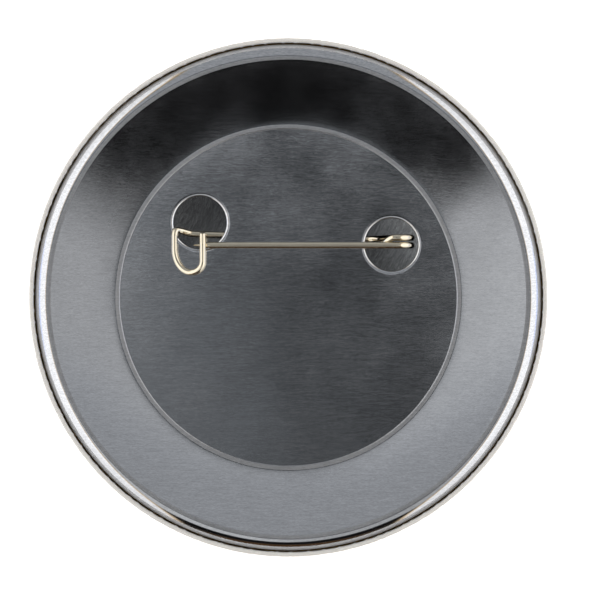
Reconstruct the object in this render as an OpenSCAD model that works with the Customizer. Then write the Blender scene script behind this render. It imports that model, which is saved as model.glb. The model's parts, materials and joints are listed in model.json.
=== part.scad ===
// Pin-back button badge, lying on its face: +Z points out of the back, and the face touches z = 0.

/* [Face] */
// Finished diameter of the badge, over the wrapped edge
badge_d = 75; // [62:0.5:92]
// Diameter of the flat middle of the face
face_flat_d = 24; // [10:1:36]
// Radius of the face's dome, outside its flat middle
dome_r = 200; // [150:5:400]
// Radius of the shoulder between the dome and the edge
shoulder_r = 2.6; // [2:0.1:3.5]
// Height of the straight wall above the shoulder
wall_h = 0.9; // [0.7:0.05:2]

/* [Sheets] */
// Thickness of the tinplate of the shell and of the back plate
tin_t = 0.25; // [0.2:0.01:0.3]
// Thickness of the printed paper
paper_t = 0.15; // [0.1:0.01:0.2]
// Thickness of the clear film
film_t = 0.1; // [0.05:0.01:0.12]
// Clearance between two sheets that lie on each other
sheet_gap = 0.02; // [0.01:0.01:0.04]
// Distance that the tucked paper and film run down past the shell's straight wall
tuck_drop = 0.15; // [0:0.05:0.15]

/* [Back plate] */
// Outer radius of the rounded rim's section
rim_r = 2; // [1.6:0.05:2.4]
// Clearance between the rim's skirt and the wrapped edge around it
clinch_gap = 0.1; // [0.05:0.05:0.2]
// Height of the rim's crown above the wrapped edge
rim_proud = 0.45; // [0.3:0.05:0.8]
// Clearance between the skirt's lower edge and the inside of the shell
seat_gap = 0.1; // [0.02:0.02:0.2]
// Slope of the dished ring at its inner edge, in degrees
dish_in_slope = 3; // [1:0.5:5]
// Slope of the dished ring at its outer edge, in degrees
dish_out_slope = 8; // [6:0.5:10]
// Diameter of the recessed disc
recess_d = 48.7; // [44:0.1:54]
// Depth of the recessed disc below the lip around it
recess_h = 0.15; // [0.1:0.01:0.3]
// Radius of the two sharp edges that the die leaves along the step
step_r = 0.06; // [0.03:0.01:0.1]
// Width of the lip around the disc
lip_w = 0.4; // [0.2:0.05:0.8]
// Slope of the lip, down to its outer side, in degrees
lip_slope = 5; // [2:0.5:8]
// Radius of the hollow between the lip and the dished ring
hollow_r = 1.5; // [1:0.1:3]

/* [Wire holes] */
// Diameter of the two holes in the recessed disc
hole_d = 7.7; // [7:0.1:9.4]
// Width of the bevel round each hole
hole_bevel_w = 0.42; // [0.2:0.02:0.6]
// Depth of the bevel round each hole
hole_bevel_h = 0.16; // [0.1:0.01:0.18]
// Place of the catch's hole along X
catch_hole_x = -12.74; // [-15:0.1:-11]
// Place of the catch's hole along Y
catch_hole_y = 10.79; // [10:0.1:12]
// Place of the coil's hole along X
coil_hole_x = 14.88; // [12:0.1:16]
// Place of the coil's hole along Y
coil_hole_y = 7.6; // [7:0.1:9]

/* [Wire] */
// Diameter of the spring wire
wire_d = 0.9; // [0.7:0.05:1]
// Clearance between the arm and the recessed disc
arm_lift = 0.65; // [0.6:0.05:1]
// Clearance between the wire and the underside of the back plate
under_gap = 0.05; // [0.02:0.01:0.1]
// Distance from the middle of the coil to the arm's root, where the arm starts to turn
root_back = 3.2; // [3:0.1:4]
// Clearance between the arm's round root and the coil's strand
root_gap = 0.1; // [0.05:0.05:0.2]
// Length of the arm from its root to the tip of its point
arm_l = 26; // [24.5:0.1:27]
// Length of the ground point
point_l = 2.3; // [1.8:0.1:3]
// Radius that the point ends in
point_r = 0.06; // [0.03:0.01:0.1]

/* [Coil] */
// Width of the coil over the wire, along the arm
coil_w = 5.2; // [4.8:0.1:6.2]
// Clearance between the coil's two strands
strand_gap = 0.2; // [0.1:0.02:0.4]
// Distance from the middle of the coil's hole to the middle of the coil, along X
coil_off = 0.72; // [0:0.02:0.9]
// Distance from the middle of the coil's hole down to the arm's axis, along Y
arm_drop = 0.08; // [-0.4:0.02:0.6]
// Clearance between the coil and the inside of the shell
coil_floor_gap = 0.35; // [0.2:0.05:0.6]

/* [Catch] */
// Distance between the middles of the catch's two legs
catch_w = 4.05; // [3.6:0.05:4.6]
// Distance from the middle of the catch's hole to the near leg, along X
catch_leg_off = 0.43; // [0.2:0.01:0.8]
// Radius of the tight bend at the foot of the near leg
catch_tight_r = 1.6; // [1.4:0.1:2]
// Height of the slack bend at the foot of the far leg, along Y
catch_slack_h = 3.4; // [2.6:0.1:4]
// Distance from the arm's axis down to the middle of the catch's foot
catch_reach = 3.92; // [3.4:0.1:4.4]
// Distance that the near leg runs on past the arm's axis
catch_lap = 1.75; // [1.3:0.05:2]
// Clearance between the arm and the near leg above it
latch_gap = 0.1; // [0.05:0.05:0.3]
// Rise of the near leg from the arm to its free end
leg_flare = 0.4; // [0.3:0.05:0.6]
// Clearance between the far leg and the back plate
leg_lift = 0.35; // [0.2:0.05:0.5]

/* [Hidden] */

ARC = 14;         // steps in a drawn arc
WIRE_SIDES = 12;  // sides of the swept wire
ARM_SIDES = 32;   // facets around the arm in a preview
HOLE_SIDES = 96;  // facets around a wire hole in a preview
AROUND = 180;     // facets around the badge in a preview
STEP_TURN = 75;   // steepest climb of the step out of the disc, in degrees

badge_r = badge_d / 2;
wire_r = wire_d / 2;

// The coil turns one and a half times, and moves over to its second strand within part of a turn
coil_turn = 540;
shift_from = 280;
shift_turn = 75;

// Runs of the wire between its named places
climb_l = 2.6;       // from the coil to the start of the bar under the plate
climb_pull = 2.1;    // how far the climb keeps the direction of its two ends
bar_in = 0.23;       // how far the bar starts inside the coil's second strand
bar_short = 1;       // from the near leg to the bar's end
bar_drop = 1.64;     // from the middle of the catch's hole to the bar's end
rise_pull = 2;       // how far the rise keeps the direction of its two ends
far_l = 1.65;        // straight top of the far leg
slack_share = 0.55;  // share of the hook's climb that the slack bend makes

// Depths of each sheet's two faces below the badge's outer surface
paper_top = film_t + sheet_gap;
shell_top = paper_top + paper_t + sheet_gap;
shell_in = shell_top + tin_t;

// The shell's dome, its shoulder and the fold of the sheets over its wall
shoulder_x = badge_r - shoulder_r;
dome_turn = asin((shoulder_x - face_flat_d / 2) / (dome_r - shoulder_r));
widest_z = dome_r - (dome_r - shoulder_r) * cos(dome_turn);
fold_r = shell_top + tin_t / 2;
fold_c = [badge_r - fold_r, widest_z + wall_h];

// The rounded rim sits inside the fold, and its skirt stands on the inside of the shoulder
rim_mid = rim_r - tin_t / 2;
rim_c = [fold_c[0] - fold_r - clinch_gap - rim_r, fold_c[1] + fold_r + rim_proud - rim_r];
skirt_x = rim_c[0] + rim_r;
seat_x = skirt_x - shoulder_x;
seat_r = shoulder_r - shell_in;
skirt_z = widest_z - sqrt(seat_r * seat_r - seat_x * seat_x) + seat_gap;

// The dished ring, the hollow, the lip and the step, worked inwards from the rim
step_l = (recess_h - 2 * step_r * (1 - cos(STEP_TURN))) / sin(STEP_TURN);
hollow_end_x = recess_d / 2 + step_l / 2 * cos(STEP_TURN) + step_r * (sin(STEP_TURN) + sin(lip_slope))
    + lip_w * cos(lip_slope) + hollow_r * (sin(lip_slope) + sin(dish_in_slope));
ring_end = left_of(rim_c, rim_mid, dish_out_slope);
dish_r = (ring_end[0] - hollow_end_x) / (sin(dish_out_slope) - sin(dish_in_slope));
dish_c = left_of(ring_end, dish_r, dish_out_slope);
hollow_end = left_of(dish_c, -dish_r, dish_in_slope);
hollow_c = left_of(hollow_end, hollow_r, dish_in_slope);
lip_out = left_of(hollow_c, -hollow_r, -lip_slope);
lip_in = lip_out - lip_w * [cos(lip_slope), -sin(lip_slope)];
disc_z = disc_line_z(tin_t / 2);

// The wire: the arm's axis, the coil and the bar under the plate
arm_y = coil_hole_y - arm_drop;
arm_z = disc_z + arm_lift + wire_r;
coil_x = coil_hole_x + coil_off;
root_x = coil_x - root_back;
coil_pitch = wire_d + strand_gap;
coil_y = arm_y + coil_pitch;
coil_half_w = (coil_w - wire_d) / 2;
coil_floor_x = coil_x + coil_half_w - face_flat_d / 2;
coil_floor = shell_in + dome_r - sqrt(dome_r * dome_r - coil_floor_x * coil_floor_x);
coil_low_z = coil_floor + coil_floor_gap + wire_r;
coil_z = (arm_z + coil_low_z) / 2;
coil_half_h = (arm_z - coil_low_z) / 2;
bar_z = disc_z - tin_t - under_gap - wire_r;
bar_start = [coil_x - coil_half_w - climb_l, coil_y - bar_in, bar_z];

// The catch: a lopsided hook, with its near leg over the arm and its far leg by the plate
near_x = catch_hole_x + catch_leg_off;
far_x = near_x - catch_w;
foot_x = near_x - catch_tight_r;
foot_y = arm_y - catch_reach;
slack_y = foot_y + catch_slack_h;
near_z = arm_z + wire_r + latch_gap + wire_r;
far_z = disc_z + leg_lift + wire_r;
far_top = [far_x, slack_y + far_l, far_z];
bar_end = [near_x - bar_short, catch_hole_y - bar_drop, bar_z];

// ---- Outlines of the pressed sheets ----

// The point at a distance to the left-hand side of a path that climbs at this angle
function left_of(p, distance, climb) = p + distance * [-sin(climb), cos(climb)];

// Points on an arc about c, from angle a to angle b
function arc(c, r, a, b, n = ARC) =
    [for (i = [0:n]) c + r * [cos(a + (b - a) * i / n), sin(a + (b - a) * i / n)]];

function reverse(list) = [for (i = [len(list) - 1:-1:0]) list[i]];

// The face at a depth below the badge's outer surface, from the axis to the foot of the wall
function face_line(depth) = concat(
    [[0, depth]],
    arc([face_flat_d / 2, dome_r], dome_r - depth, -90, dome_turn - 90),
    arc([shoulder_x, widest_z], shoulder_r - depth, dome_turn - 90, 0)
);

// The face, the wall, the fold over the wall and the tuck down inside it
function wrap_line(depth) = concat(
    face_line(depth),
    arc(fold_c, fold_r - depth, 0, 180),
    [fold_c - [fold_r - depth, wall_h + tuck_drop]]
);

// The step's two edges, on the surface at a distance above the middle of the sheet
function crest_c(up) = left_of(lip_in, up - step_r, -lip_slope);
function foot_c(up) = left_of(crest_c(up), 2 * step_r, STEP_TURN) - step_l * [cos(STEP_TURN), sin(STEP_TURN)];
function disc_line_z(up) = foot_c(up)[1] - step_r;

// The back plate's surface at a distance above the middle of its sheet, from the axis to the skirt
function plate_line(up) = concat(
    [[0, disc_line_z(up)]],
    arc(foot_c(up), step_r, -90, STEP_TURN - 90),
    arc(crest_c(up), step_r, STEP_TURN + 90, 90 - lip_slope),
    arc(hollow_c, hollow_r - up, -lip_slope - 90, dish_in_slope - 90),
    arc(dish_c, dish_r - up, dish_in_slope - 90, dish_out_slope - 90),
    arc(rim_c, rim_mid + up, dish_out_slope + 90, 0, 2 * ARC),
    [[skirt_x - tin_t / 2 + up, skirt_z]]
);

module wrapped_sheet(top, bottom) {
    rotate_extrude($fn = AROUND)
        polygon(concat(wrap_line(top), reverse(wrap_line(bottom))));
}

// ---- The wire's path ----

function ease(t) = t * t * (3 - 2 * t);

function clamp01(t) = min(1, max(0, t));

function bezier(p, t) =
    pow(1 - t, 3) * p[0] + 3 * pow(1 - t, 2) * t * p[1] + 3 * (1 - t) * t * t * p[2] + pow(t, 3) * p[3];

// The coil turns down on the side away from the arm, and moves over to its second strand on the way up
function coil_point(a) = [
    coil_x + coil_half_w * sin(a),
    arm_y + coil_pitch * ease(clamp01((a - shift_from) / shift_turn)),
    coil_z + coil_half_h * cos(a)
];

// From the foot of the second strand the wire climbs to the underside of the plate
climb_from = coil_point(coil_turn);
climb = [climb_from, climb_from - [climb_pull, 0, 0], bar_start + [climb_pull, 0, 0], bar_start];

// From the bar the wire comes up through its hole and turns down the far leg
rise = [bar_end, bar_end - [rise_pull, 0, 0], far_top + [0, rise_pull, 0], far_top];

// The hook's plane climbs from the far leg to the near leg
function hook_z(t) = far_z + (near_z - far_z) * ease(t);

function slack_point(t) = [
    foot_x - (foot_x - far_x) * cos(90 * t),
    slack_y - catch_slack_h * sin(90 * t),
    hook_z(slack_share * t)
];

function tight_point(t) = [
    foot_x + catch_tight_r * sin(90 * t),
    foot_y + catch_tight_r * (1 - cos(90 * t)),
    hook_z(slack_share + (1 - slack_share) * t)
];

near_foot = tight_point(1);
near_tip = [near_x, arm_y + catch_lap, near_z + leg_flare];

function near_point(t) = [
    near_x,
    near_foot[1] + (near_tip[1] - near_foot[1]) * t,
    near_z + leg_flare * ease(clamp01((near_foot[1] + (near_tip[1] - near_foot[1]) * t - arm_y) / catch_lap))
];

wire_path = concat(
    [[root_x + wire_r + root_gap, arm_y, arm_z]],
    [for (a = [0:12:coil_turn]) coil_point(a)],
    [for (i = [1:9]) bezier(climb, i / 10)],
    [bar_start, bar_end],
    [for (i = [1:13]) bezier(rise, i / 14)],
    [far_top],
    [for (i = [0:10]) slack_point(i / 10)],
    [for (i = [1:8]) tight_point(i / 8)],
    [for (i = [1:6]) near_point(i / 6)]
);

// ---- Sweeping a round wire along a path ----

function unit(v) = v / norm(v);

function path_dir(p, i) =
    i == 0 ? unit(p[1] - p[0])
    : i == len(p) - 1 ? unit(p[i] - p[i - 1])
    : unit(unit(p[i] - p[i - 1]) + unit(p[i + 1] - p[i]));

// The side vector of each ring, carried along so that the rings don't twist
function carried_sides(p, start) = [
    for (i = 0, s = start; i < len(p); i = i + 1,
        s = i < len(p) ? unit(s - (s * path_dir(p, i)) * path_dir(p, i)) : s) s
];

function ring_points(c, d, s, r) = let (u = cross(d, s))
    [for (k = [0:WIRE_SIDES - 1]) let (a = 360 * k / WIRE_SIDES) c + r * (cos(a) * s + sin(a) * u)];

module sweep_wire(p, r, start_side) {
    sides = carried_sides(p, start_side);
    n = WIRE_SIDES;
    last = n * (len(p) - 1);
    points = [for (i = [0:len(p) - 1]) each ring_points(p[i], path_dir(p, i), sides[i], r)];
    skin = [for (i = [0:len(p) - 2]) for (k = [0:n - 1])
        let (a = n * i + k, b = n * i + (k + 1) % n) [a, a + n, b + n, b]];
    caps = [[for (k = [0:n - 1]) k], [for (k = [n - 1:-1:0]) last + k]];
    polyhedron(points = points, faces = concat(skin, caps), convexity = 10);
}

// ---- The pieces ----

module front_shell() {
    color("silver") rotate_extrude($fn = AROUND)
        polygon(concat(face_line(shell_top), arc(fold_c, tin_t / 2, 0, 180), reverse(face_line(shell_in))));
}

module print_disc() {
    color("white") wrapped_sheet(paper_top, paper_top + paper_t);
}

module film_cover() {
    color("aliceblue", 0.5) wrapped_sheet(0, film_t);
}

module wire_hole(x, y) {
    translate([x, y, disc_z]) {
        translate([0, 0, -2 * tin_t]) cylinder(d = hole_d, h = 4 * tin_t, $fn = HOLE_SIDES);
        translate([0, 0, -hole_bevel_h])
            cylinder(r1 = hole_d / 2, r2 = hole_d / 2 + 2 * hole_bevel_w, h = 2 * hole_bevel_h, $fn = HOLE_SIDES);
    }
}

module back_plate() {
    color("gainsboro") difference() {
        rotate_extrude($fn = AROUND)
            polygon(concat(plate_line(-tin_t / 2), reverse(plate_line(tin_t / 2))));
        wire_hole(catch_hole_x, catch_hole_y);
        wire_hole(coil_hole_x, coil_hole_y);
    }
}

module catch_wire() {
    color("wheat") sweep_wire(wire_path, wire_r, [0, 0, 1]);
}

module pin_arm() {
    shank_l = arm_l - point_l;
    color("wheat") translate([root_x, arm_y, arm_z]) {
        sphere(wire_r, $fn = ARM_SIDES);
        rotate([0, -90, 0]) cylinder(r = wire_r, h = shank_l, $fn = ARM_SIDES);
        translate([-shank_l, 0, 0]) rotate([0, -90, 0])
            cylinder(r1 = wire_r, r2 = point_r, h = point_l, $fn = ARM_SIDES);
    }
}

front_shell();
print_disc();
film_cover();
back_plate();
catch_wire();
pin_arm();
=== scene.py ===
"""Looks of a pin-back button badge that lies on its face, seen from its back."""
import json
import math
import random

import bpy
import numpy as np
from bpy.props import FloatProperty, FloatVectorProperty, IntProperty, PointerProperty
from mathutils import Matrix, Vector, geometry, noise


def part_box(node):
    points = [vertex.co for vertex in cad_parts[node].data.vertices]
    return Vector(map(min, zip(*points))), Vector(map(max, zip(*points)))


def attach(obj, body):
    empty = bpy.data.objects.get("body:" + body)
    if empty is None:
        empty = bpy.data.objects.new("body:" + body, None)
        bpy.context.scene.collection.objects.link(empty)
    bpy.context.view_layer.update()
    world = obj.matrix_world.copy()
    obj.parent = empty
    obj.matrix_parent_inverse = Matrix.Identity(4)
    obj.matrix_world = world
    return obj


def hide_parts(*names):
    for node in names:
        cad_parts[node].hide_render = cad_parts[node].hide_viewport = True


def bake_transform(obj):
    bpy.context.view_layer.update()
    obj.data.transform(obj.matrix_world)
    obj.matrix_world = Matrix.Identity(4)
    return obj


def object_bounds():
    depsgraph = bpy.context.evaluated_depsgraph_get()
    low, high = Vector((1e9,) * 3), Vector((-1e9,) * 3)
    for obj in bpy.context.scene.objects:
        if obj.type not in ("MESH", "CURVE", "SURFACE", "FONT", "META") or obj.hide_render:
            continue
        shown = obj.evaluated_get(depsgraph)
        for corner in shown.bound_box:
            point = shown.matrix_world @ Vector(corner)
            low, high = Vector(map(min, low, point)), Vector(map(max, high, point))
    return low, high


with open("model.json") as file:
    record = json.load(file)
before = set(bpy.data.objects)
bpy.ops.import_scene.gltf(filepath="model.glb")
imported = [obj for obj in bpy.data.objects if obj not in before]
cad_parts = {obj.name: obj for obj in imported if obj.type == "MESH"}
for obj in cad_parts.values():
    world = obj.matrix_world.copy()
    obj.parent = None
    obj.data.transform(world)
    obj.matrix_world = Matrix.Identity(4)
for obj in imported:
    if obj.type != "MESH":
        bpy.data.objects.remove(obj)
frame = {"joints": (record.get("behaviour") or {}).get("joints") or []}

bl_info = {
    "name": "Pin-back button badge",
    "version": (1, 0, 0),
    "blender": (4, 5, 0),
    "location": "View3D > Sidebar > Badge",
    "description": "Makes the sheets, the wire and the stage of a pin-back button badge",
    "category": "Object",
}

MM = 0.001
CAD_BOX = [list(corner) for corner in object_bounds()]
HINGE = frame["joints"][0]
ROOT = Vector(HINGE["pos_m"])
FILM_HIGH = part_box("film_cover")[1]
PAPER_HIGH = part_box("print_disc")[1]
SHELL_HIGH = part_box("front_shell")[1]
PLATE_LOW, PLATE_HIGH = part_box("back_plate")
WIRE_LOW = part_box("catch_wire")[0]
ARM_LOW, ARM_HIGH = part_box("pin_arm")
WIRE_R = (ARM_HIGH.z - ARM_LOW.z) / 2


# ---- What a user would change ----

def linear(code):
    """An sRGB hex code as a linear colour."""
    parts = [int(code[i:i + 2], 16) / 255 for i in (1, 3, 5)]
    return tuple(c / 12.92 if c <= 0.04045 else ((c + 0.055) / 1.055) ** 2.4 for c in parts)


def length(name, about, millimetres):
    """A length setting, named in millimetres and kept in metres."""
    return FloatProperty(name=name, description=about, default=millimetres * MM,
                         unit="LENGTH", precision=5)


def colour(name, about, code):
    """A colour setting from an sRGB hex code."""
    return FloatVectorProperty(name=name, description=about, subtype="COLOR", size=3,
                               min=0.0, max=1.0, default=linear(code))


class BadgeSheetSettings(bpy.types.PropertyGroup):
    """Sizes of the pressed and wrapped sheets"""
    tin: length("Tinplate", "Thickness of the tinplate of the shell and the back plate", 0.25)
    paper: length("Paper", "Thickness of the printed paper", 0.15)
    film: length("Film", "Thickness of the clear film", 0.1)
    flat: length("Flat of the face", "Diameter of the flat middle of the face", 24)
    dome: length("Dome", "Radius of the face's dome", 200)
    shoulder: length("Shoulder", "Radius between the dome and the wall", 2.6)
    tuck: length("Tuck", "Length of the sheets tucked inside the wall", 1.05)
    rim: length("Rim", "Outer radius of the rounded rim's section", 2.0)
    edge: length("Step edges", "Radius of the step's two sharp edges", 0.06)
    recess: length("Recess", "Diameter of the recessed disc", 48.7)
    recess_depth: length("Recess depth", "Depth of the recessed disc below its lip", 0.15)
    lip: length("Lip", "Width of the lip around the disc", 0.4)
    hollow: length("Hollow", "Radius of the hollow between the lip and the dished ring", 1.5)
    hole: length("Holes", "Diameter of the two wire holes", 7.7)
    bevel: length("Hole edge", "Width of the rounded edge of a wire hole", 0.47)
    bevel_depth: length("Hole edge depth", "Depth of the rounded edge of a wire hole", 0.18)
    wave: length("Waves", "Height of the slight waves in the back plate", 0.02)
    pleat: length("Pleats", "Depth of the pleats of the wrapped edge", 0.06)
    snug: length("Snug fit", "How far the pressed fold leans to the back plate", 0.015)
    bulge: length("Bulge", "How much nearer to the back plate a crease bulges", 0.08)
    pleats: IntProperty(name="Number of pleats", description="Pleats round the wrapped edge",
                        default=114, min=20, max=200)


class BadgeWireSettings(bpy.types.PropertyGroup):
    """Sizes of the pin's wire"""
    coil_back: length("Coil distance", "From the arm's root to the middle of the coil", 3.2)
    coil: length("Coil", "Width of the coil over the wire", 5.2)
    pitch: length("Coil pitch", "Distance between the coil's strands", 1.1)
    under: length("Bar clearance", "Clearance between the wire and the plate above it", 0.05)
    point: length("Point", "Length of the ground point", 2.3)
    tip: length("Tip", "Radius that the point ends in", 0.06)
    leg: length("Near leg", "From the catch's hole to the near leg, along X", 0.43)
    catch: length("Catch", "Distance between the catch's legs", 4.05)
    reach: length("Reach", "From the arm's axis down to the foot of the catch", 3.92)
    tight: length("Tight bend", "Radius at the foot of the near leg", 1.6)
    slack: length("Slack bend", "Height of the bend at the foot of the far leg", 3.4)
    lap: length("Lap", "How far the near leg runs past the arm", 1.75)
    latch: length("Latch clearance", "Clearance between the arm and the near leg above it", 0.1)
    flare: length("Flare", "Rise of the near leg to its free end", 0.4)
    leg_lift: length("Leg clearance", "Clearance between the far leg and the back plate", 0.35)


class BadgeColourSettings(bpy.types.PropertyGroup):
    """Colours of the badge's materials"""
    tinplate: colour("Tinplate", "Bright rolled tinplate", "#d3d4d7")
    shell: colour("Shell", "The plainer tinplate inside the shell", "#c6c5c4")
    nickel: colour("Nickel", "Nickel plating on the wire", "#dfd5c0")
    paper: colour("Paper", "Coated white paper", "#e9e6e1")
    floor: colour("Floor", "Opal acrylic light table", "#fbfbfb")


CATCH_HOLE = Vector((-12.74, 10.79)) * MM
COIL_HOLE = Vector((14.88, 7.6)) * MM
SLOPE_IN, SLOPE_OUT, LIP_SLOPE, STEP_TURN = 3.0, 8.0, 5.0, 75.0   # slopes of the plate, in degrees
FLAT_RING = 0.08 * MM      # flat ring beside a rounded edge, that keeps its shading off the flat disc

COIL_TURN = 540            # degrees that the coil turns
SHIFT_FROM, SHIFT_TURN = 280, 75   # where the coil moves over to its second strand, and in how much turn
CLIMB_L = 2.6 * MM         # from the coil to the start of the bar under the plate
CLIMB_PULL = 2.1 * MM      # how far the climb keeps the direction of its two ends
BAR_IN = 0.23 * MM         # how far the bar starts inside the coil's second strand
BAR_SHORT = 1 * MM         # from the near leg to the bar's end
BAR_DROP = 1.64 * MM       # from the middle of the catch's hole to the bar's end
RISE_PULL = 2 * MM         # how far the rise keeps the direction of its two ends
FAR_L = 1.65 * MM          # straight top of the far leg
SLACK_SHARE = 0.55         # share of the hook's climb that the slack bend makes
JOIN_L = 2.6 * MM          # from the arm's root to where its mesh meets the mesh of the coil


# ---- Mesh helpers ----

def arc(centre, radius, start, stop, steps):
    """Points of an arc in a section, from one angle to another in degrees."""
    angles = np.radians(np.linspace(start, stop, steps + 1))
    return [(centre[0] + radius * math.cos(a), centre[1] + radius * math.sin(a)) for a in angles]


def smooth(t):
    """0 to 1 with level ends."""
    t = min(max(t, 0.0), 1.0)
    return t * t * (3 - 2 * t)


def make_piece(name, points, faces, sharp_angle=35):
    """A mesh object, smooth where its faces meet at less than the given angle."""
    mesh = bpy.data.meshes.new(name)
    mesh.from_pydata([tuple(map(float, p)) for p in points], [], faces)
    mesh.validate()
    mesh.shade_smooth()
    mesh.set_sharp_from_angle(angle=math.radians(sharp_angle))
    piece = bpy.data.objects.new(name, mesh)
    bpy.context.scene.collection.objects.link(piece)
    return piece


def lay_grain(piece, turn=0.0):
    """A flat UV layout over X and Y, turned by an angle, that gives sheet metal its rolling direction."""
    mesh = piece.data
    layer = mesh.uv_layers.new(name="grain")
    corners = np.zeros(len(mesh.loops), np.int32)
    mesh.loops.foreach_get("vertex_index", corners)
    flat = np.zeros(len(mesh.vertices) * 3, np.float32)
    mesh.vertices.foreach_get("co", flat)
    points = flat.reshape(-1, 3)[corners, :2]
    c, s = math.cos(turn), math.sin(turn)
    uv = np.column_stack([points @ (c, s), points @ (-s, c)]) / (80 * MM) + 0.5
    layer.data.foreach_set("uv", uv.astype(np.float32).ravel())


def ring_faces(first, second, count):
    """Quads between two rings of the same count."""
    return [(first + i, first + (i + 1) % count, second + (i + 1) % count, second + i)
            for i in range(count)]


def widening_faces(first, count, second, share):
    """Faces from a ring to one that has share times as many points."""
    total = count * share
    return [(first + i, first + (i + 1) % count,
             *(second + (i * share + k) % total for k in range(share, -1, -1)))
            for i in range(count)]


def turned(name, section, count, fine_from=None, share=4, shape=None):
    """A section turned round Z, out along its lower side and back along its upper one. Between its
    points fine_from and the matching one on the way back it has share times as many points round.
    shape moves a point, given its radius, angle, height and index."""
    points, faces, rings = [], [], []
    fine_to = len(section) if fine_from is None else len(section) - fine_from
    for i, (r, z) in enumerate(section):
        around = count * share if fine_from is not None and fine_from <= i < fine_to else count
        if r < 1e-9:
            rings.append((len(points), 1))
            points.append((0.0, 0.0, z))
            continue
        rings.append((len(points), around))
        for k in range(around):
            a = 2 * math.pi * k / around
            rr, zz = shape(r, a, z, i) if shape else (r, z)
            points.append((rr * math.cos(a), rr * math.sin(a), zz))
    for (first, n), (second, m) in zip(rings, rings[1:]):
        if n == 1:
            faces += [(first, second + (k + 1) % m, second + k) for k in range(m)]
        elif m == 1:
            faces += [(first + k, first + (k + 1) % n, second) for k in range(n)]
        elif n == m:
            faces += ring_faces(first, second, n)
        elif m > n:
            faces += widening_faces(first, n, second, m // n)
        else:
            faces += [f[::-1] for f in widening_faces(second, m, first, n // m)]
    return make_piece(name, points, faces)


def swept(name, path, radii, sides=32, cut=None):
    """A round bar along a path with flat ends, its UV along the bar and round it. cut moves the
    points of the last ring."""
    path = np.array([tuple(p) for p in path], float)
    radii = np.broadcast_to(radii, len(path))
    steps = np.diff(path, axis=0)
    lengths = np.linalg.norm(steps, axis=1)
    steps /= lengths[:, None]
    ways = np.vstack([steps[:1], steps[:-1] + steps[1:], steps[-1:]])
    ways /= np.linalg.norm(ways, axis=1)[:, None]
    side = np.array((0.0, 0.0, 1.0))
    angles = 2 * math.pi * np.arange(sides) / sides
    points, faces = [], []
    for place, way, r in zip(path, ways, radii):
        side = side - (side @ way) * way
        side /= np.linalg.norm(side)
        up = np.cross(way, side)
        points += list(place + r * (np.cos(angles)[:, None] * side + np.sin(angles)[:, None] * up))
    if cut:
        points[-sides:] = [cut(p) for p in points[-sides:]]
    for i in range(len(path) - 1):
        faces += [f[::-1] for f in ring_faces(i * sides, (i + 1) * sides, sides)]
    faces.append(tuple(range(sides))[::-1])
    faces.append(tuple(range(len(points) - sides, len(points))))
    piece = make_piece(name, points, faces, sharp_angle=50)
    run = np.concatenate([[0], np.cumsum(lengths)]) / (20 * MM)
    layer = piece.data.uv_layers.new(name="grain")
    for face in piece.data.polygons:
        spots = [divmod(piece.data.loops[i].vertex_index, sides) for i in face.loop_indices]
        wraps = {0, sides - 1} <= {k for _, k in spots} and len(spots) == 4
        for i, (ring, k) in zip(face.loop_indices, spots):
            layer.data[i].uv = (run[ring], (k + (sides if wraps and k == 0 else 0)) / sides)
    return piece


# ---- Sections of the sheets ----

def face_section(sizes, depth):
    """The face at a depth below the film, from the axis to the foot of the wall."""
    shoulder_x = FILM_HIGH.x - sizes.shoulder
    turn = math.asin((shoulder_x - sizes.flat / 2) / (sizes.dome - sizes.shoulder))
    widest = sizes.dome - (sizes.dome - sizes.shoulder) * math.cos(turn)
    low = math.degrees(turn) - 90
    middle = [(sizes.flat / 2 * k / 6, depth) for k in range(6)]
    return (middle + arc((sizes.flat / 2, sizes.dome), sizes.dome - depth, -90, low, 16)
            + arc((shoulder_x, widest), sizes.shoulder - depth, low, 0, 14)[1:])


def fold(sizes):
    """The centre and the outer radius of the sheets' fold over the shell's wall."""
    radius = FILM_HIGH.x - SHELL_HIGH.x + sizes.tin / 2
    return (FILM_HIGH.x - radius, FILM_HIGH.z - radius), radius


def wrap_line(sizes, depth):
    """One side of a wrapped sheet: the face, the wall, the fold and the tuck inside it."""
    centre, radius = fold(sizes)
    face = face_section(sizes, depth)
    foot = face[-1]
    wall = [(foot[0], foot[1] + (centre[1] - foot[1]) * k / 4) for k in (1, 2, 3)]
    inner = centre[0] - radius + depth
    tuck = [(inner, centre[1] - sizes.tuck * k / 3) for k in (1, 2, 3)]
    return face + wall + arc(centre, radius - depth, 0, 180, 16) + tuck


def left_of(point, distance, climb):
    """The point at a distance to the left of a section's path that climbs at an angle in degrees."""
    a = math.radians(climb)
    return point[0] - distance * math.sin(a), point[1] + distance * math.cos(a)


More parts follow.
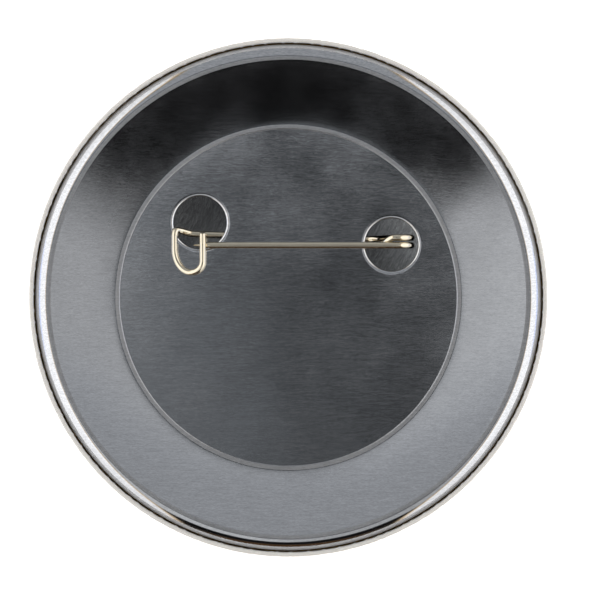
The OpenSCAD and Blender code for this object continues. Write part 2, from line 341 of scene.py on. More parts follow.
def plate_line(sizes, up):
    """The back plate's surface at a distance above the middle of its sheet, from the edge of its
    flat disc to the foot of its skirt, worked inwards from the rim."""
    sine_in, sine_out, sine_lip, sine_turn = (
        math.sin(math.radians(a)) for a in (SLOPE_IN, SLOPE_OUT, LIP_SLOPE, STEP_TURN))
    cosine_turn = math.cos(math.radians(STEP_TURN))
    rim_mid = sizes.rim - sizes.tin / 2
    rim = (PLATE_HIGH.x - sizes.rim, PLATE_HIGH.z - sizes.rim)
    fall = (sizes.recess_depth - 2 * sizes.edge * (1 - cosine_turn)) / sine_turn
    lip_run = sizes.lip * math.cos(math.radians(LIP_SLOPE))
    hollow_end_x = (sizes.recess / 2 + fall / 2 * cosine_turn + sizes.edge * (sine_turn + sine_lip)
                    + lip_run + sizes.hollow * (sine_lip + sine_in))
    ring_end = left_of(rim, rim_mid, SLOPE_OUT)
    dish = (ring_end[0] - hollow_end_x) / (sine_out - sine_in)
    dish_c = left_of(ring_end, dish, SLOPE_OUT)
    hollow_c = left_of(left_of(dish_c, -dish, SLOPE_IN), sizes.hollow, SLOPE_IN)
    lip_out = left_of(hollow_c, -sizes.hollow, -LIP_SLOPE)
    lip_in = (lip_out[0] - lip_run, lip_out[1] + sizes.lip * sine_lip)
    crest_c = left_of(lip_in, up - sizes.edge, -LIP_SLOPE)
    foot_c = left_of(crest_c, 2 * sizes.edge, STEP_TURN)
    foot_c = (foot_c[0] - fall * cosine_turn, foot_c[1] - fall * sine_turn)
    skirt_x = PLATE_HIGH.x - sizes.tin / 2 + up
    return ([(foot_c[0] - FLAT_RING, foot_c[1] - sizes.edge)]
            + arc(foot_c, sizes.edge, -90, STEP_TURN - 90, 6)
            + arc(crest_c, sizes.edge, STEP_TURN + 90, 90 - LIP_SLOPE, 8)
            + arc(hollow_c, sizes.hollow - up, -LIP_SLOPE - 90, SLOPE_IN - 90, 6)
            + arc(dish_c, dish - up, SLOPE_IN - 90, SLOPE_OUT - 90, 18)[1:]
            + arc(rim, rim_mid + up, SLOPE_OUT + 90, 0, 36)[1:]
            + [(skirt_x, rim[1] + (PLATE_LOW.z - rim[1]) * k / 3) for k in (1, 2, 3)])


def disc_top(sizes):
    """Height of the recessed disc's upper surface."""
    return plate_line(sizes, sizes.tin / 2)[0][1]


def plate_wave(sizes, x, y):
    """Height of the slight waves that pressing leaves in the plate. They die out at the rim."""
    fade = 1 - smooth((math.hypot(x, y) - 31 * MM) / (3 * MM))
    broad = noise.noise(Vector((x / (17 * MM), y / (17 * MM), 4.3)))
    close = noise.noise(Vector((x / (7 * MM), y / (7 * MM), 9.1)))
    return sizes.wave * fade * (broad + 0.3 * close)


# ---- The wire's path ----

def bezier(p, count):
    """Points of a Bezier curve after its first."""
    p = [np.array(tuple(q), float) for q in p]
    ts = np.arange(1, count + 1) / count
    return [(1 - t) ** 3 * p[0] + 3 * (1 - t) ** 2 * t * p[1] + 3 * (1 - t) * t * t * p[2]
            + t ** 3 * p[3] for t in ts]


def wire_path(sheets, wire, start_x):
    """The fixed part of the wire: the coil, the bar under the plate and the catch."""
    disc_z = disc_top(sheets)
    coil_x = ROOT.x + wire.coil_back
    half_w = wire.coil / 2 - WIRE_R
    low_z = WIRE_LOW.z + WIRE_R
    half_h = (ROOT.z - low_z) / 2
    bar_z = disc_z - sheets.tin - wire.under - WIRE_R

    def coil_point(a):
        rise = smooth((a - SHIFT_FROM) / SHIFT_TURN)
        return np.array((coil_x + half_w * math.sin(math.radians(a)), ROOT.y + wire.pitch * rise,
                         low_z + half_h * (1 + math.cos(math.radians(a)))))

    bar_start = np.array((coil_x - half_w - CLIMB_L, ROOT.y + wire.pitch - BAR_IN, bar_z))
    near_x = CATCH_HOLE.x + wire.leg
    far_x = near_x - wire.catch
    foot_x = near_x - wire.tight
    foot_y = ROOT.y - wire.reach
    slack_y = foot_y + wire.slack
    near_z = ROOT.z + 2 * WIRE_R + wire.latch
    far_z = disc_z + wire.leg_lift + WIRE_R
    far_top = np.array((far_x, slack_y + FAR_L, far_z))
    bar_end = np.array((near_x - BAR_SHORT, CATCH_HOLE.y - BAR_DROP, bar_z))

    def hook_z(t):
        return far_z + (near_z - far_z) * smooth(t)

    def slack_point(t):
        a = math.pi / 2 * t
        return (foot_x - (foot_x - far_x) * math.cos(a), slack_y - wire.slack * math.sin(a),
                hook_z(SLACK_SHARE * t))

    def tight_point(t):
        a = math.pi / 2 * t
        return (foot_x + wire.tight * math.sin(a), foot_y + wire.tight * (1 - math.cos(a)),
                hook_z(SLACK_SHARE + (1 - SLACK_SHARE) * t))

    def near_point(t):
        y = foot_y + wire.tight + (ROOT.y + wire.lap - foot_y - wire.tight) * t
        return near_x, y, near_z + wire.flare * smooth((y - ROOT.y) / wire.lap)

    foot = coil_point(COIL_TURN)
    path = [(x, ROOT.y, ROOT.z) for x in np.arange(start_x, coil_x - 0.05 * MM, 0.15 * MM)]
    path += [coil_point(a) for a in range(0, COIL_TURN + 1, 3)]
    path += bezier((foot, foot - (CLIMB_PULL, 0, 0), bar_start + (CLIMB_PULL, 0, 0), bar_start), 32)
    path += [bar_start + (bar_end - bar_start) * k / 40 for k in range(1, 41)]
    path += bezier((bar_end, bar_end - (RISE_PULL, 0, 0), far_top + (0, RISE_PULL, 0), far_top), 48)
    path += [slack_point(k / 36) for k in range(1, 37)]
    path += [tight_point(k / 28) for k in range(1, 29)]
    path += [near_point(k / 36) for k in range(1, 37)]
    return path


# ---- Materials ----

def add(tree, kind, inputs=None, **settings):
    """Adds a node. An input is set to a value, or linked to the socket given for it."""
    node = tree.nodes.new(kind)
    for name, value in settings.items():
        setattr(node, name, value)
    for name, value in (inputs or {}).items():
        if isinstance(value, bpy.types.NodeSocket):
            tree.links.new(value, node.inputs[name])
        else:
            node.inputs[name].default_value = value
    return node


def new_material(name):
    """A material with an empty tree, its tree and its output's surface input."""
    material = bpy.data.materials.new(name)
    material.use_nodes = True
    tree = material.node_tree
    tree.nodes.clear()
    output = add(tree, "ShaderNodeOutputMaterial")
    return material, tree, output.inputs["Surface"]


def mixed(tree, a, b, share):
    """A colour between two, by a share."""
    node = add(tree, "ShaderNodeMix", {0: share, 6: a, 7: b}, data_type="RGBA")
    return node.outputs[2]


def stretched(tree, place, across, along, turn=0.0):
    """A place scaled so that a pattern has one size across the rolling direction and one along it."""
    return add(tree, "ShaderNodeMapping",
               {"Vector": place, "Rotation": (0, 0, turn), "Scale": (along, across, across)},
               vector_type="TEXTURE").outputs["Vector"]


CREVICE_SHADE_BROWN = linear("#e3b562")   # painted shade: a brown painted into the crimp's crevice, so that the shadow there looks brown


def past_radius(tree, place, low, high):
    """0 inside one radius from the badge's axis and 1 outside another, or the other way round."""
    flat = add(tree, "ShaderNodeVectorMath", {0: place, 1: (1, 1, 0)}, operation="MULTIPLY").outputs[0]
    radius = add(tree, "ShaderNodeVectorMath", {0: flat}, operation="LENGTH").outputs["Value"]
    return add(tree, "ShaderNodeMapRange", {"Value": radius, 1: low, 2: high},
               interpolation_type="SMOOTHSTEP").outputs[0]


def tinplate(name, tint, turn, dust, contrast, rubbed=(), frosted_from=None,
             crevice_shade_from=None):
    """Bright cold-rolled tinplate: a satin mirror with hair-fine rolling lines along one way and a
    little dust. Light smears across the lines. It spreads wide and dims on the bands between two
    radii that the die has rubbed dull. From one radius out the crimp has frosted the metal pale,
    and past another one it is painted brown: painted shade for the shadow in the crevice under the fold."""
    material, tree, surface = new_material(name)
    place = add(tree, "ShaderNodeTexCoord").outputs["Object"]
    # Real rolling lines are a few hundredths of a millimetre apart, and these are drawn coarser
    lines = add(tree, "ShaderNodeTexNoise",
                {"Vector": stretched(tree, place, 0.08 * MM, 0.5 * MM, turn), "Scale": 1.0, "Detail": 3.0,
                 "Roughness": 0.65}).outputs["Fac"]
    bands = add(tree, "ShaderNodeTexNoise",
                {"Vector": stretched(tree, place, 0.25 * MM, 2.2 * MM, turn), "Scale": 1.0, "Detail": 2.0}
                ).outputs["Fac"]
    cloud = add(tree, "ShaderNodeTexNoise",
                {"Vector": place, "Scale": 1 / (9 * MM), "Detail": 2.0}).outputs["Fac"]
    streak = add(tree, "ShaderNodeMix", {0: 0.3, 2: lines, 3: bands}).outputs[0]
    low = tuple(c * (1 - contrast) for c in tint)
    base = mixed(tree, (*low, 1), (*tint, 1),
                 add(tree, "ShaderNodeMapRange", {"Value": streak, 1: 0.36, 2: 0.64}).outputs[0])
    rough = add(tree, "ShaderNodeMapRange",
                {"Value": cloud, 1: 0.3, 2: 0.7, 3: 0.065, 4: 0.115}).outputs[0]
    rough = add(tree, "ShaderNodeMath", {0: streak, 1: 0.08, 2: rough},
                operation="MULTIPLY_ADD").outputs[0]
    rough = add(tree, "ShaderNodeMath", {0: rough, 1: 0.04}, operation="SUBTRACT").outputs[0]
    for low_r, high_r in rubbed:
        band = add(tree, "ShaderNodeMath", {0: past_radius(tree, place, low_r, low_r + 0.1 * MM),
                                            1: past_radius(tree, place, high_r, high_r - 0.1 * MM)},
                   operation="MULTIPLY").outputs[0]
        rough = add(tree, "ShaderNodeMath", {0: band, 1: 0.28, 2: rough},
                    operation="MULTIPLY_ADD").outputs[0]
        worn = add(tree, "ShaderNodeMath", {0: band, 1: 0.2}, operation="MULTIPLY").outputs[0]
        base = mixed(tree, base, (0.0, 0.0, 0.0, 1), worn)
    wander = add(tree, "ShaderNodeTexNoise", {"Vector": place, "Scale": 1 / (0.9 * MM)}).outputs["Color"]
    bent = add(tree, "ShaderNodeVectorMath", {0: wander, 1: (0.9 * MM,) * 3, 2: place},
               operation="MULTIPLY_ADD").outputs[0]
    dusty = 0.0
    # Dust specks, then two layers of hairs that lie in different ways
    for size, spot, width, turned_by in ((2.2, place, 1.0, 0.0), (3.1, bent, 9.0, 1.2),
                                         (4.3, bent, 12.0, 2.5)):
        cells = stretched(tree, spot, size / width * MM, size * MM, turned_by)
        specks = add(tree, "ShaderNodeTexVoronoi", {"Vector": cells, "Scale": 1.0})
        picked = add(tree, "ShaderNodeMath", {0: specks.outputs["Color"], 1: 1 - dust / width},
                     operation="GREATER_THAN").outputs[0]
        near = add(tree, "ShaderNodeMapRange",
                   {"Value": specks.outputs["Distance"], 1: 0.03 + 0.012 * width, 2: 0.01},
                   interpolation_type="SMOOTHSTEP").outputs[0]
        near = add(tree, "ShaderNodeMath", {0: picked, 1: near}, operation="MULTIPLY").outputs[0]
        dusty = add(tree, "ShaderNodeMath", {0: near, 1: dusty}, operation="MAXIMUM").outputs[0]
    dusty = add(tree, "ShaderNodeMath", {0: dusty, 1: 0.7}, operation="MULTIPLY").outputs[0]
    base = mixed(tree, base, (0.8, 0.8, 0.78, 1), dusty)
    metal = add(tree, "ShaderNodeMath", {0: 1.0, 1: dusty}, operation="SUBTRACT").outputs[0]
    if frosted_from:
        frost = past_radius(tree, place, frosted_from, frosted_from + 0.1 * MM)
        metal = add(tree, "ShaderNodeMath", {0: frost, 1: -0.7, 2: metal},
                    operation="MULTIPLY_ADD").outputs[0]
    # painted shade: past this radius the plate is painted brown, where the fold's shadow falls in the
    # crevice
    if crevice_shade_from:
        crevice_shade = past_radius(tree, place, crevice_shade_from, crevice_shade_from + 0.08 * MM)
        base = mixed(tree, base, (*CREVICE_SHADE_BROWN, 1), crevice_shade)
        metal = add(tree, "ShaderNodeMath", {0: metal, 1: crevice_shade}, operation="SUBTRACT",
                    use_clamp=True).outputs[0]
    bump = add(tree, "ShaderNodeBump", {"Height": lines, "Distance": 0.0009 * MM, "Strength": 1.0})
    way = add(tree, "ShaderNodeTangent", direction_type="UV_MAP", uv_map="grain")
    shader = add(tree, "ShaderNodeBsdfPrincipled",
                 {"Base Color": base, "Metallic": metal, "Roughness": rough, "Anisotropic": 0.4,
                  "Anisotropic Rotation": 0.25, "Tangent": way.outputs[0], "Normal": bump.outputs[0]})
    tree.links.new(shader.outputs[0], surface)
    return material


def coated_paper(tint, crevice_shade_r):
    """Coated white paper: soft white with a faint cloudy look-through and a fibre grain. Its
    tucked side, within a radius, is painted brown: painted shade for the shadow in the crevice by the back
    plate."""
    material, tree, surface = new_material("Paper, coated, white")
    place = add(tree, "ShaderNodeTexCoord").outputs["Object"]
    cloud = add(tree, "ShaderNodeTexNoise",
                {"Vector": place, "Scale": 1 / (1.3 * MM), "Detail": 4.0}).outputs["Fac"]
    fibre = add(tree, "ShaderNodeTexNoise",
                {"Vector": place, "Scale": 1 / (0.12 * MM), "Detail": 2.0}).outputs["Fac"]
    base = mixed(tree, (*(c * 0.88 for c in tint), 1), (*tint, 1), cloud)
    # painted shade: the tuck down in the crevice is painted brown, where the fold's shadow falls
    inside = past_radius(tree, place, crevice_shade_r, crevice_shade_r - 0.08 * MM)
    tucked = add(tree, "ShaderNodeMath",
                 {0: inside, 1: past_radius(tree, place, crevice_shade_r - 3 * MM, crevice_shade_r - 2 * MM)},
                 operation="MULTIPLY").outputs[0]
    base = mixed(tree, base, (*CREVICE_SHADE_BROWN, 1), tucked)
    bump = add(tree, "ShaderNodeBump", {"Height": fibre, "Distance": 0.006 * MM, "Strength": 1.0})
    shader = add(tree, "ShaderNodeBsdfPrincipled",
                 {"Base Color": base, "Roughness": 0.55, "Normal": bump.outputs[0]})
    tree.links.new(shader.outputs[0], surface)
    return material


def clear_film():
    """Clear polyester film: seen through, with a bright gloss that grows at a slant."""
    material, tree, surface = new_material("Polyester film, clear, gloss")
    place = add(tree, "ShaderNodeTexCoord").outputs["Object"]
    smear = add(tree, "ShaderNodeTexNoise",
                {"Vector": place, "Scale": 1 / (3 * MM), "Detail": 2.0}).outputs["Fac"]
    rough = add(tree, "ShaderNodeMapRange", {"Value": smear, 3: 0.06, 4: 0.16}).outputs[0]
    gloss = add(tree, "ShaderNodeBsdfPrincipled",
                {"Base Color": (0.95, 0.96, 0.97, 1), "Metallic": 1.0, "Roughness": rough})
    clear = add(tree, "ShaderNodeBsdfTransparent", {"Color": (0.99, 0.99, 0.99, 1)})
    inner = add(tree, "ShaderNodeNewGeometry").outputs["Backfacing"]
    outer = add(tree, "ShaderNodeMath", {0: 1.0, 1: inner}, operation="SUBTRACT").outputs[0]
    share = add(tree, "ShaderNodeFresnel", {"IOR": 1.6}).outputs[0]
    share = add(tree, "ShaderNodeMath", {0: share, 1: outer}, operation="MULTIPLY").outputs[0]
    shader = add(tree, "ShaderNodeMixShader", {0: share, 1: clear.outputs[0], 2: gloss.outputs[0]})
    tree.links.new(shader.outputs[0], surface)
    return material


def plated_wire(tint):
    """Nickel-plated spring wire: bright and slightly warm, with fine drawing lines along it."""
    material, tree, surface = new_material("Spring wire, nickel-plated, drawn")
    spot = add(tree, "ShaderNodeUVMap", uv_map="grain").outputs[0]
    lines = add(tree, "ShaderNodeTexNoise",
                {"Vector": add(tree, "ShaderNodeMapping", {"Vector": spot, "Scale": (7, 34, 1)}).outputs[0],
                 "Scale": 1.0, "Detail": 2.0}).outputs["Fac"]
    place = add(tree, "ShaderNodeTexCoord").outputs["Object"]
    cloud = add(tree, "ShaderNodeTexNoise",
                {"Vector": place, "Scale": 1 / (1.6 * MM), "Detail": 3.0}).outputs["Fac"]
    base = mixed(tree, (*(c * 0.82 for c in tint), 1), (*tint, 1), lines)
    rough = add(tree, "ShaderNodeMapRange", {"Value": cloud, 1: 0.3, 2: 0.7, 3: 0.06, 4: 0.13}).outputs[0]
    bump = add(tree, "ShaderNodeBump", {"Height": lines, "Distance": 0.002 * MM, "Strength": 1.0})
    shader = add(tree, "ShaderNodeBsdfPrincipled",
                 {"Base Color": base, "Metallic": 1.0, "Roughness": rough, "Normal": bump.outputs[0]})
    tree.links.new(shader.outputs[0], surface)
    return material


def opal_floor(tint):
    """Opal acrylic lit from below: plain, pale and nearly free of shadow."""
    material, tree, surface = new_material("Opal acrylic, lit")
    place = add(tree, "ShaderNodeTexCoord").outputs["Object"]
    cloud = add(tree, "ShaderNodeTexNoise",
                {"Vector": place, "Scale": 1 / (60 * MM), "Detail": 2.0}).outputs["Fac"]
    base = mixed(tree, (*(c * 0.985 for c in tint), 1), (*tint, 1), cloud)
    shader = add(tree, "ShaderNodeBsdfPrincipled",
                 {"Base Color": base, "Roughness": 0.6, "Emission Color": (*tint, 1),
                  "Emission Strength": 0.62})
    tree.links.new(shader.outputs[0], surface)
    return material


def finish_piece(piece, material, slot_name, *nodes):
    """Gives a piece its material and hides the CAD nodes that it stands for; the slot name is not used."""
    piece.data.materials.append(material)
    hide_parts(*nodes)


# ---- Pieces ----

class BADGE_OT_shell(bpy.types.Operator):
    """Makes the tinplate shell behind the picture"""
    bl_idname = "badge.shell"
    bl_label = "Front shell"

    def execute(self, context):
        sizes = context.scene.badge_sheets
        centre, _ = fold(sizes)
        depth = FILM_HIGH.x - SHELL_HIGH.x
        section = (face_section(sizes, depth) + arc(centre, sizes.tin / 2, 0, 180, 10)
                   + face_section(sizes, depth + sizes.tin)[::-1])
        piece = turned("shell", section, 240)
        turn = math.radians(62)
        lay_grain(piece, turn)
        metal = tinplate("Tinplate, satin, inside of the shell", tuple(context.scene.badge_colours.shell),
                         turn, 0.1, 0.5)
        finish_piece(piece, metal, "tinplate_shell", "front_shell")
        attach(piece, "badge")
        return {"FINISHED"}


class BADGE_OT_wrap(bpy.types.Operator):
    """Makes the printed paper and the clear film, pleated where they fold over the shell's wall"""
    bl_idname = "badge.wrap"
    bl_label = "Paper and film"

    def execute(self, context):
        sizes = context.scene.badge_sheets
        colours = context.scene.badge_colours
        centre, radius = fold(sizes)
        draw = random.Random(7)
        creases = [(2 * math.pi * (k + draw.uniform(-0.35, 0.35)) / sizes.pleats, draw.uniform(0.25, 1.0),
                    draw.uniform(0.5, 1.3) * MM, draw.choice((-1, 1)), draw.uniform(-0.5, 0.5) * MM)
                   for k in range(sizes.pleats)]

        def pleat(a, run):
            """Depth of the pleats at an angle and a run up the wall: a sharp fall on one side of a
            crease and a slow return on the other."""
            deepest = 0.0
            at = int(a / (2 * math.pi) * sizes.pleats)
            for k in range(at - 2, at + 3):
                middle, depth, width, hand, slant = creases[k % sizes.pleats]
                off = (a - middle + math.pi) % (2 * math.pi) - math.pi
                off = (off * FILM_HIGH.x + slant * run) * hand
                fall = math.exp(-off / width) if off > 0 else math.exp(-(off / (0.16 * MM)) ** 2)
                deepest = max(deepest, depth * fall)
            return deepest

        def bulge(a):
            """How far a crease closes the gap to the back plate at an angle, from 0 to 1."""
            at = int(a / (2 * math.pi) * sizes.pleats)
            offs = [((a - creases[k % sizes.pleats][0] + math.pi) % (2 * math.pi) - math.pi) * PLATE_HIGH.x
                    for k in range(at - 2, at + 3)]
            return max(math.exp(-(off / (0.2 * MM)) ** 2) for off in offs)

        def wrap(name, top, bottom, kept):
            section = wrap_line(sizes, top) + wrap_line(sizes, bottom)[::-1]
            half = len(section) // 2
            foot = len(face_section(sizes, 0)) - 1
            foot_z = section[foot][1]

            def shape(r, a, z, i):
                inside = kept and i >= half
                run = (z - foot_z) / (centre[1] - foot_z)
                if inside or run <= 0 or min(i, 2 * half - 1 - i) <= foot:
                    return r, z
                grow = smooth(run)
                if z <= centre[1] and r > centre[0]:
                    return r - sizes.pleat * grow * pleat(a, run), z
                if z <= centre[1]:
                    return r - sizes.snug - sizes.bulge * bulge(a), z
                out = math.hypot(r - centre[0], z - centre[1])
                turn = smooth((centre[0] - r) / radius)
                depth = pleat(a, 1.0 + (centre[0] - r) / radius)
                push = turn * (sizes.snug + sizes.bulge * bulge(a)) - (1 - turn) * sizes.pleat * depth
                share = 1 + push / out
                return centre[0] + (r - centre[0]) * share, centre[1] + (z - centre[1]) * share

            return turned(name, section, 360, foot, 4, shape)

        film = wrap("film", 0.0, sizes.film, False)
        finish_piece(film, clear_film(), "clear_film", "film_cover")
        top = FILM_HIGH.x - PAPER_HIGH.x
        paper = wrap("paper", top, top + sizes.paper, True)
        white = coated_paper(tuple(colours.paper), centre[0] - 0.93 * radius)
        finish_piece(paper, white, "printed_paper", "print_disc")
        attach(film, "badge")
        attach(paper, "badge")
        return {"FINISHED"}


class BADGE_OT_plate(bpy.types.Operator):
    """Makes the back plate: its rounded rim, dished ring and recessed disc with the two wire holes"""
    bl_idname = "badge.plate"
    bl_label = "Back plate"

    def execute(self, context):
        sizes = context.scene.badge_sheets
        around, hole_around, edge_steps = 480, 128, 10
        lower = plate_line(sizes, -sizes.tin / 2)
        upper = plate_line(sizes, sizes.tin / 2)
        points, faces, starts = [], [], []

        def add_ring(centre, r, z, count):
            starts.append(len(points))
            for k in range(count):
                a = 2 * math.pi * k / count
                x, y = centre[0] + r * math.cos(a), centre[1] + r * math.sin(a)
                points.append((x, y, z + plate_wave(sizes, x, y)))
            return starts[-1]

        rings = [add_ring((0, 0), r, z, around) for r, z in lower + upper[::-1]]
        for first, second in zip(rings, rings[1:]):
            faces += ring_faces(first, second, around)

        # The punch draws the edge of each hole down into a round shoulder
        hole_r = sizes.hole / 2
        bevel_r = hole_r + sizes.bevel
        flat_r = bevel_r + FLAT_RING
        top_z, low_z = upper[0][1], lower[0][1]
        turns = [math.pi / 2 * k / edge_steps for k in range(edge_steps + 1)]
        profile = ([(flat_r, top_z)]
                   + [(bevel_r - sizes.bevel * math.sin(t), top_z - sizes.bevel_depth * (1 - math.cos(t)))
                      for t in turns]
                   + [(hole_r, low_z), (hole_r + 0.1 * MM, low_z)])
        hole_rings = []
        for hole in (CATCH_HOLE, COIL_HOLE):
            here = [add_ring(hole, r, z, hole_around) for r, z in profile]
            for first, second in zip(here, here[1:]):
                faces += [f[::-1] for f in ring_faces(first, second, hole_around)]
            hole_rings.append((here[0], here[-1]))

        # The flat disc: the rings just made and a grid between them, in triangles
        edge_r = upper[0][0]
        flat = [Vector(points[rings[-1] + k][:2]) for k in range(around)]
        bounds = [list(range(around))]
        for top_ring, _ in hole_rings:
            bounds.append(list(range(len(flat), len(flat) + hole_around)))
            flat += [Vector(points[top_ring + k][:2]) for k in range(hole_around)]
        edges = [(b[k], b[(k + 1) % len(b)]) for b in bounds for k in range(len(b))]
        ringed = len(flat)
        pitch = 0.75 * MM
        span = int(edge_r / pitch) + 1
        for j in range(-span, span + 1):
            for i in range(-span, span + 1):
                spot = Vector(((i + 0.5 * (j % 2)) * pitch, j * pitch * 0.866))
                clear = min((spot - h).length for h in (CATCH_HOLE, COIL_HOLE)) - flat_r
                if spot.length < edge_r - 0.45 * MM and clear > 0.35 * MM:
                    flat.append(spot)
        made = geometry.delaunay_2d_cdt(flat, edges, [bounds[0]], 1, 1e-9)
        source = {new: min(olds) for new, olds in enumerate(made[3])}
        upper_ids, lower_ids = {}, {}
        for new, old in source.items():
            x, y = flat[old]
            if old < around:
                upper_ids[new], lower_ids[new] = rings[-1] + old, rings[0] + old
            elif old < ringed:
                which, k = divmod(old - around, hole_around)
                upper_ids[new] = hole_rings[which][0] + k
                lower_ids[new] = hole_rings[which][1] + k
            else:
                lift = plate_wave(sizes, x, y)
                upper_ids[new] = len(points)
                points.append((x, y, top_z + lift))
                lower_ids[new] = len(points)
                points.append((x, y, low_z + lift))
        for face in made[2]:
            # A face with all its corners on one hole's ring fills the hole
            on_rings = {(source[v] - around) // hole_around for v in face}
            if on_rings not in ({0}, {1}):
                faces.append(tuple(upper_ids[v] for v in face))
                faces.append(tuple(lower_ids[v] for v in face)[::-1])
        piece = make_piece("plate", points, faces)
        lay_grain(piece)
        crown = (PLATE_HIGH.x - 2.38 * MM, PLATE_HIGH.x - 1.78 * MM)
        step = (edge_r, edge_r + 0.75 * MM)
        metal = tinplate("Tinplate, bright, rolled along X", tuple(context.scene.badge_colours.tinplate),
                         0.0, 0.2, 0.3, (crown, step), PLATE_HIGH.x - 0.62 * MM, PLATE_HIGH.x - 0.1 * MM)
        finish_piece(piece, metal, "tinplate_back", "back_plate")
        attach(piece, "badge")
        return {"FINISHED"}


class BADGE_OT_wire(bpy.types.Operator):
    """Makes the pin: the arm with its point, and the coil, the bar and the catch in one wire"""
    bl_idname = "badge.wire"
    bl_label = "Pin wire"

    def execute(self, context):
        sheets, wire = context.scene.badge_sheets, context.scene.badge_wire
        metal = plated_wire(tuple(context.scene.badge_colours.nickel))
        join_x = ROOT.x + JOIN_L

        def chisel(p):
            """The free end was nipped off: it slants down to the side of the plate."""
            return p + np.array((0.0, 0.22 * (ROOT.z + 3 * WIRE_R - p[2]), 0.0))

        fixed = swept("catch_and_coil", wire_path(sheets, wire, join_x), WIRE_R, cut=chisel)
        finish_piece(fixed, metal, "spring_wire", "catch_wire")
        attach(fixed, "badge")

        tip_x = ARM_LOW.x
        xs = list(np.arange(join_x, tip_x + wire.point, -0.3 * MM))
        radii = [WIRE_R] * len(xs)
        for k in range(25):
            t = k / 24
            xs.append(tip_x + wire.point * (1 - t))
            radii.append(WIRE_R + (wire.tip - WIRE_R) * t ** 1.25)
        arm = swept("arm", [(x, ROOT.y, ROOT.z) for x in xs], radii)
        finish_piece(arm, metal, "spring_wire", "pin_arm")
        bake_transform(arm)
        return {"FINISHED"}


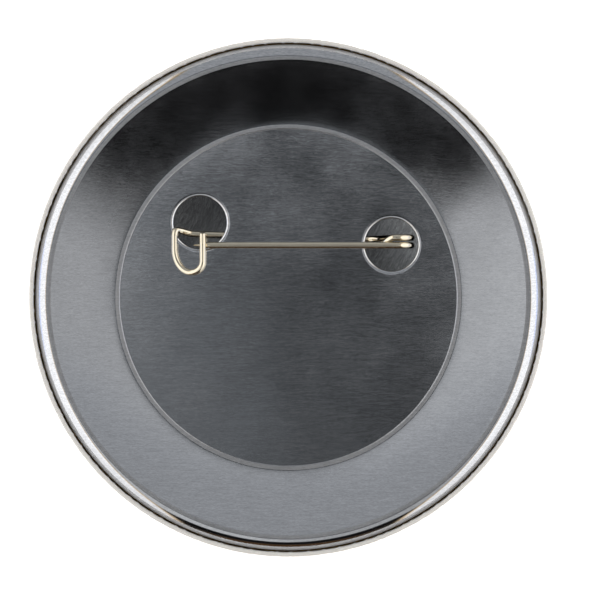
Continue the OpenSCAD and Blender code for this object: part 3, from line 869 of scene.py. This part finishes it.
class BADGE_OT_stage(bpy.types.Operator):
    """Makes the light table, the studio light and the camera"""
    bl_idname = "badge.stage"
    bl_label = "Stage"

    def execute(self, context):
        scene = context.scene
        half = 3.0
        corners = [(-half, -half, 0), (half, -half, 0), (half, half, 0), (-half, half, 0)]
        floor = make_piece("floor", corners, [(0, 1, 2, 3)])
        floor.location.z = CAD_BOX[0][2] - 0.02 * MM
        floor.data.materials.append(opal_floor(tuple(scene.badge_colours.floor)))
        self.make_light(scene)
        data = bpy.data.cameras.new("camera")
        data.lens = 250
        data.sensor_width = 36
        data.clip_end = 20
        camera = bpy.data.objects.new("camera", data)
        camera.location = (1.685 * MM, -0.374 * MM, 0.6055)
        scene.collection.objects.link(camera)
        scene.camera = camera
        scene.view_settings.view_transform = "Standard"
        return {"FINISHED"}

    def make_light(self, scene):
        """A tent of soft light: a bright panel on each side with a warm edge, a pale wall behind, a
        dark front with a little brown light low down, and a dim opening overhead with a dark seam
        round it."""
        world = bpy.data.worlds.new("tent")
        world.use_nodes = True
        scene.world = world
        tree = world.node_tree
        tree.nodes.clear()
        way = add(tree, "ShaderNodeTexCoord").outputs["Generated"]
        xyz = add(tree, "ShaderNodeSeparateXYZ", {0: way})

        def maths(kind, a, b=0.0, c=0.0):
            return add(tree, "ShaderNodeMath", {0: a, 1: b, 2: c}, operation=kind).outputs[0]

        def between(value, low, high):
            return add(tree, "ShaderNodeMapRange", {"Value": value, 1: low, 2: high},
                       interpolation_type="SMOOTHSTEP").outputs[0]

        x, y = xyz.outputs["X"], xyz.outputs["Y"]
        aside = maths("ABSOLUTE", x)
        off_top = maths("SQRT", maths("MULTIPLY_ADD", x, x, maths("MULTIPLY", y, y)))
        overhead = between(off_top, 0.062, 0.05)
        # The maker's own dark shape stands at the front of the opening, as a wedge
        lean = maths("DIVIDE", maths("MULTIPLY_ADD", aside, 0.55, y), maths("ADD", off_top, 0.02))
        body = maths("MULTIPLY", between(lean, 0.2, -0.15), between(off_top, 0.28, 0.23))
        body = maths("MULTIPLY", body, maths("SUBTRACT", 1.0, overhead))
        leftward = maths("MULTIPLY_ADD", y, -0.4, maths("MULTIPLY", x, -1.0))
        gap = maths("MULTIPLY_ADD", between(leftward, -0.01, 0.045), -0.40, 0.88)
        front = between(y, -0.64, -0.72)
        seam = maths("MULTIPLY", between(off_top, 0.235, 0.27), between(off_top, 0.38, 0.32))
        seam = maths("MULTIPLY", seam, 0.6)
        dark = maths("MAXIMUM", maths("MAXIMUM", body, maths("MULTIPLY", overhead, gap)), front)
        dark = maths("MAXIMUM", dark, seam)
        glow = maths("MULTIPLY", between(y, 0.13, 0.02), maths("SUBTRACT", 1.0, overhead))
        glow = maths("MULTIPLY", glow, maths("MULTIPLY_ADD", between(x, 0.1, -0.1), 0.16, 0.1))
        tent = maths("MULTIPLY_ADD", maths("SUBTRACT", 1.0, dark), maths("ADD", glow, 0.46), 0.006)
        ends = maths("MULTIPLY_ADD", between(maths("ABSOLUTE", y), 0.3, 0.8), -0.2, 1.0)
        panel = maths("MULTIPLY", maths("MULTIPLY", between(aside, 0.41, 0.47), 1.65), ends)
        light = maths("MAXIMUM", tent, panel)
        far = between(y, -0.86, -0.97)
        light = maths("MAXIMUM", light, maths("MULTIPLY", far, 0.1))
        tint = mixed(tree, (0.97, 0.985, 1.0, 1), (0.92, 0.955, 1.0, 1), between(y, 0.0, 0.1))
        tint = mixed(tree, tint, (0.88, 0.94, 1.0, 1), overhead)
        tint = mixed(tree, tint, (1.0, 1.0, 1.0, 1), between(aside, 0.45, 0.5))
        edge = maths("MULTIPLY", between(aside, 0.39, 0.42), between(aside, 0.49, 0.45))
        tint = mixed(tree, tint, (0.95, 0.7, 0.4, 1), maths("MULTIPLY", edge, 0.85))
        tint = mixed(tree, tint, (0.62, 0.72, 1.0, 1), between(aside, 0.95, 0.995))
        tint = mixed(tree, tint, (1.0, 0.5, 0.2, 1), far)
        sky = add(tree, "ShaderNodeBackground", {"Color": tint, "Strength": light})
        tree.links.new(sky.outputs[0], add(tree, "ShaderNodeOutputWorld").inputs["Surface"])


STEPS = ("shell", "wrap", "plate", "wire", "stage")


class BADGE_PT_pieces(bpy.types.Panel):
    """Lists the badge's pieces and its sizes"""
    bl_label = "Badge"
    bl_idname = "BADGE_PT_pieces"
    bl_space_type = "VIEW_3D"
    bl_region_type = "UI"
    bl_category = "Badge"

    def draw(self, context):
        for step in STEPS:
            self.layout.operator(f"badge.{step}")
        for group in (context.scene.badge_sheets, context.scene.badge_wire, context.scene.badge_colours):
            box = self.layout.box()
            for name in group.bl_rna.properties.keys():
                if name not in ("rna_type", "name"):
                    box.prop(group, name)


CLASSES = (BadgeSheetSettings, BadgeWireSettings, BadgeColourSettings, BADGE_OT_shell, BADGE_OT_wrap,
           BADGE_OT_plate, BADGE_OT_wire, BADGE_OT_stage, BADGE_PT_pieces)


def register():
    for cls in CLASSES:
        bpy.utils.register_class(cls)
    bpy.types.Scene.badge_sheets = PointerProperty(type=BadgeSheetSettings)
    bpy.types.Scene.badge_wire = PointerProperty(type=BadgeWireSettings)
    bpy.types.Scene.badge_colours = PointerProperty(type=BadgeColourSettings)


def unregister():
    del bpy.types.Scene.badge_colours
    del bpy.types.Scene.badge_wire
    del bpy.types.Scene.badge_sheets
    for cls in reversed(CLASSES):
        bpy.utils.unregister_class(cls)


def main():
    register()
    for step in STEPS:
        getattr(bpy.ops.badge, step)()


if __name__ == "__main__":
    main()
